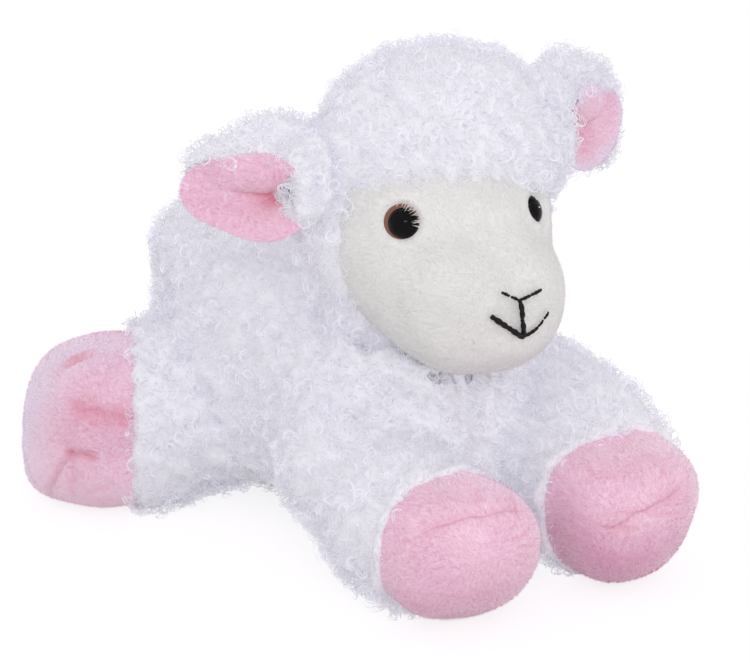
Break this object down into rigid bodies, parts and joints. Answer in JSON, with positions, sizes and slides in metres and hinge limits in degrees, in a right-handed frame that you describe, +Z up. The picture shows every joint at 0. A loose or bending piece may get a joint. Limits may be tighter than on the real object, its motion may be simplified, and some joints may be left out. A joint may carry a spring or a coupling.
{
  "type": "stuffed lamb toy",
  "caption": "Small stuffed lamb lying on its belly, with curly white fleece, a cream face, and pink paws and ears.",
  "frame": {"origin": "centre of the lamb's footprint box, on the surface it lies on", "axes": "+Z up, -Y the way the lamb faces, -X its right side"},
  "size_m": [0.158, 0.1948, 0.1461],
  "materials": {
    "curly_fleece": "white polyester fleece in loose shiny curls",
    "cream_plush": "cream short-pile plush",
    "pink_plush": "pink short-pile plush",
    "polyester_filling": "white polyester fibre filling",
    "pellet_bag_cloth": "plain woven bag filled with plastic pellets",
    "embroidery_thread": "near-black polyester embroidery thread",
    "black_plastic": "glossy black moulded plastic",
    "brown_plastic": "glossy brown moulded plastic",
    "washer_plastic": "white moulded plastic"
  },
  "bodies": {
    "torso": {"torso_panel_right": "curly_fleece", "torso_panel_left": "curly_fleece", "belly_panel": "curly_fleece", "torso_filling": "polyester_filling", "pellet_bag": "pellet_bag_cloth"},
    "neck": {"neck_sleeve": "curly_fleece", "neck_filling": "polyester_filling"},
    "head": {"hood_right": "curly_fleece", "hood_left": "curly_fleece", "face_panel": "cream_plush", "head_filling": "polyester_filling", "eye_right": "black_plastic", "iris_right": "brown_plastic", "eye_washer_right": "washer_plastic", "eye_left": "black_plastic", "iris_left": "brown_plastic", "eye_washer_left": "washer_plastic", "nose_stitch": "embroidery_thread", "lip_stitch": "embroidery_thread", "mouth_stitch": "embroidery_thread"},
    "ear_right": {"ear_right_outer": "curly_fleece", "ear_right_lining": "pink_plush"},
    "ear_left": {"ear_left_outer": "curly_fleece", "ear_left_lining": "pink_plush"},
    "foreleg_right": {"foreleg_right_sleeve": "curly_fleece", "foreleg_right_paw_top": "pink_plush", "foreleg_right_paw_sole": "pink_plush", "foreleg_right_filling": "polyester_filling"},
    "foreleg_left": {"foreleg_left_sleeve": "curly_fleece", "foreleg_left_paw_top": "pink_plush", "foreleg_left_paw_sole": "pink_plush", "foreleg_left_filling": "polyester_filling"},
    "hindleg_right": {"hindleg_right_sleeve": "curly_fleece", "hindleg_right_paw_top": "pink_plush", "hindleg_right_paw_sole": "pink_plush", "hindleg_right_filling": "polyester_filling"},
    "hindleg_left": {"hindleg_left_sleeve": "curly_fleece", "hindleg_left_paw_top": "pink_plush", "hindleg_left_paw_sole": "pink_plush", "hindleg_left_filling": "polyester_filling"},
    "tail": {"tail_upper": "curly_fleece", "tail_under": "curly_fleece"}
  },
  "joints": [
    {"name": "head_turn", "type": "hinge", "parent": "torso", "child": "neck", "pos_m": [0, -0.01246, 0.074], "axis": [0, 0, 1], "range_deg": [-15, 15], "stiffness_Nm_per_rad": 0.3},
    {"name": "head_nod", "type": "hinge", "parent": "neck", "child": "head", "pos_m": [0, -0.01246, 0.074], "axis": [-1, 0, 0], "range_deg": [-5, 15], "stiffness_Nm_per_rad": 0.4},
    {"name": "ear_right_flap", "type": "hinge", "parent": "head", "child": "ear_right", "pos_m": [-0.03635, -0.0238, 0.10326], "axis": [0.6583, 0.7326, -0.173], "range_deg": [-20, 20], "stiffness_Nm_per_rad": 0.04},
    {"name": "ear_left_flap", "type": "hinge", "parent": "head", "child": "ear_left", "pos_m": [0.0355, -0.03188, 0.11072], "axis": [0.5064, -0.8521, 0.1322], "range_deg": [-20, 20], "stiffness_Nm_per_rad": 0.04},
    {"name": "foreleg_right_lift", "type": "hinge", "parent": "torso", "child": "foreleg_right", "pos_m": [-0.03, -0.02746, 0.027], "axis": [-0.9981, -0.0624, 0], "range_deg": [-10, 15], "stiffness_Nm_per_rad": 0.3},
    {"name": "foreleg_left_lift", "type": "hinge", "parent": "torso", "child": "foreleg_left", "pos_m": [0.03, -0.02746, 0.027], "axis": [-0.9981, 0.0624, 0], "range_deg": [-10, 15], "stiffness_Nm_per_rad": 0.3},
    {"name": "hindleg_right_lift", "type": "hinge", "parent": "torso", "child": "hindleg_right", "pos_m": [-0.03, 0.03854, 0.025], "axis": [0.5358, 0.8443, 0], "range_deg": [-8, 18], "stiffness_Nm_per_rad": 0.35},
    {"name": "hindleg_left_lift", "type": "hinge", "parent": "torso", "child": "hindleg_left", "pos_m": [0.03, 0.03854, 0.025], "axis": [0.5358, -0.8443, 0], "range_deg": [-8, 18], "stiffness_Nm_per_rad": 0.35},
    {"name": "tail_lift", "type": "hinge", "parent": "torso", "child": "tail", "pos_m": [0, 0.07854, 0.05], "axis": [1, 0, 0], "range_deg": [-5, 35], "stiffness_Nm_per_rad": 0.03}
  ]
}
